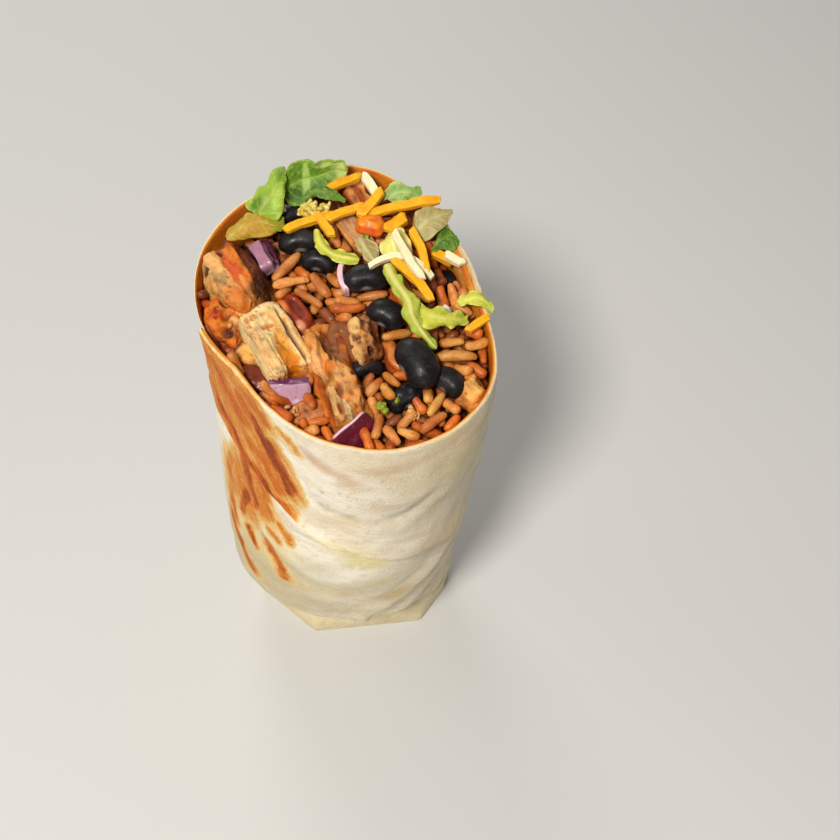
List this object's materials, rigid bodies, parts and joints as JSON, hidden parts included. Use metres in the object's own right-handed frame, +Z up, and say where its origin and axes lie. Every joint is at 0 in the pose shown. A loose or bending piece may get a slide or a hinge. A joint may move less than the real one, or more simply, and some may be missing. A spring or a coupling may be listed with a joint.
{
  "type": "burrito",
  "caption": "Half of a wrapped burrito standing on its folded end, with the filling showing in the sloping cut face.",
  "frame": {"origin": "middle of the flat foot, on the surface the half stands on", "axes": "+Z up towards the cut face, +Y towards the back where the cut face is highest, +X to the right"},
  "size_m": [0.0718, 0.0738, 0.1363],
  "materials": {
    "tortilla": "soft matt flatbread with toasted brown patches",
    "rice": "moist cooked grains stained orange by the sauce",
    "chicken": "browned fibrous cooked meat",
    "bean": "glossy dark skin",
    "onion": "translucent pale flesh with a purple skin",
    "pepper": "wet cooked vegetable",
    "lettuce": "thin waxy leaf",
    "orange_cheese": "satin grated cheese",
    "white_cheese": "satin grated cheese"
  },
  "bodies": {
    "root": {"tortilla": "tortilla", "white_cheese_1": "white_cheese", "white_cheese_2": "white_cheese", "white_cheese_3": "white_cheese", "white_cheese_4": "white_cheese", "orange_cheese_1": "orange_cheese", "orange_cheese_2": "orange_cheese", "orange_cheese_3": "orange_cheese", "orange_cheese_4": "orange_cheese", "orange_cheese_5": "orange_cheese", "orange_cheese_6": "orange_cheese", "orange_cheese_7": "orange_cheese", "orange_cheese_8": "orange_cheese", "orange_cheese_9": "orange_cheese", "orange_cheese_10": "orange_cheese", "orange_cheese_11": "orange_cheese", "lettuce_1": "lettuce", "lettuce_2": "lettuce", "lettuce_3": "lettuce", "lettuce_4": "lettuce", "lettuce_5": "lettuce", "lettuce_6": "lettuce", "lettuce_7": "lettuce", "lettuce_8": "lettuce", "lettuce_9": "lettuce", "lettuce_10": "lettuce", "lettuce_11": "lettuce", "lettuce_12": "lettuce", "lettuce_13": "lettuce", "bean_1": "bean", "bean_2": "bean", "bean_3": "bean", "bean_4": "bean", "bean_5": "bean", "bean_6": "bean", "bean_7": "bean", "bean_8": "bean", "bean_9": "bean", "bean_10": "bean", "onion_1": "onion", "onion_2": "onion", "onion_3": "onion", "onion_4": "onion", "chicken_1": "chicken", "chicken_2": "chicken", "chicken_3": "chicken", "chicken_4": "chicken", "chicken_5": "chicken", "chicken_6": "chicken", "chicken_7": "chicken", "chicken_8": "chicken", "chicken_9": "chicken", "chicken_10": "chicken", "chicken_11": "chicken", "pepper_1": "pepper", "pepper_2": "pepper", "pepper_3": "pepper", "pepper_4": "pepper", "pepper_5": "pepper", "rice": "rice"}
  },
  "joints": []
}
